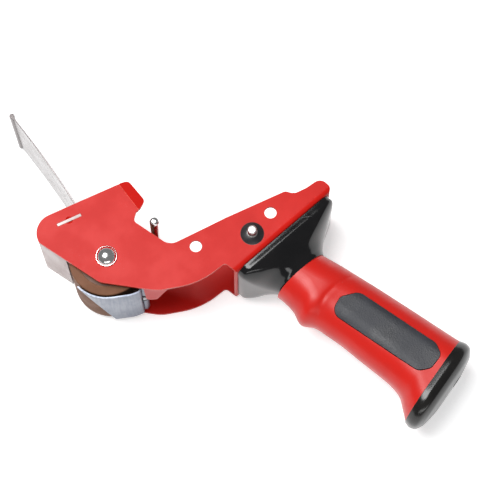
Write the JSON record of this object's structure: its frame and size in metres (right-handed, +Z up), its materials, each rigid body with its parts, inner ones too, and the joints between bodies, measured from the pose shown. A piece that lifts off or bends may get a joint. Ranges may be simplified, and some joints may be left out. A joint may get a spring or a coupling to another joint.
{
  "type": "packing tape gun",
  "caption": "Hand-held packing tape gun with folded metal frame, wiper flap, serrated blade, rubber roller, sprung tape tongue and angled two-colour grip.",
  "frame": {"origin": "bottom centre of the whole gun as it lies on its far side plate", "axes": "+Z up, along the roller and pin axes; +Y towards the wiper flap's tip; +X towards the handle end along the head's straight edge"},
  "size_m": [0.1989, 0.2626, 0.064],
  "materials": {
    "frame_paint": "red gloss enamel on folded steel",
    "zinc": "zinc-plated sheet",
    "blade_steel": "hardened blade steel",
    "flap_sheet": "grey springy sheet, satin gloss",
    "screw_steel": "bright zinc",
    "brown_rubber": "tan-brown rubber",
    "core_plastic": "brown moulded plastic",
    "bush_plastic": "natural acetal",
    "bright_steel": "polished",
    "tongue_steel": "blue-grey spring steel",
    "spring_steel": "spring wire",
    "black_plastic": "glossy black moulding",
    "red_plastic": "red moulding, satin gloss",
    "grey_soft": "soft dark grey insert",
    "cap_plastic": "glossy black moulding",
    "dark_steel": "blackened spring steel"
  },
  "bodies": {
    "gun_body": {"frame": "frame_paint", "nose_plate": "zinc", "blade": "blade_steel", "wiper_flap": "flap_sheet", "wiper_clamp": "zinc", "clamp_screws": "screw_steel", "clamp_nuts": "screw_steel", "axle_washers": "screw_steel", "roller_axle": "screw_steel", "axle_cap": "bright_steel", "tongue_pin": "screw_steel", "tongue_spring": "spring_steel", "guide_rod": "bright_steel", "hub_stud": "screw_steel", "stud_spacer": "zinc", "dished_washer": "dark_steel", "handle_collar": "black_plastic", "grip_core": "black_plastic", "grip_shell": "red_plastic", "grip_insert_near": "grey_soft", "grip_insert_far": "grey_soft", "butt_cap": "cap_plastic", "butt_screw": "screw_steel", "core_plug": "screw_steel", "handle_screws": "screw_steel"},
    "roller": {"roller_tread": "brown_rubber", "roller_core": "core_plastic", "roller_bushes": "bush_plastic"},
    "tongue": {"tape_tongue": "tongue_steel"}
  },
  "joints": [
    {"name": "roller_spin", "type": "hinge", "parent": "gun_body", "child": "roller", "pos_m": [-0.06805, 0.02819, 0.028], "axis": [0, 0, 1], "continuous": true},
    {"name": "tongue_pivot", "type": "hinge", "parent": "gun_body", "child": "tongue", "pos_m": [-0.05605, 0.00609, 0.028], "axis": [0, 0, 1], "range_deg": [0, 8], "stiffness_Nm_per_rad": 0.15, "springref_deg": -5.73}
  ]
}
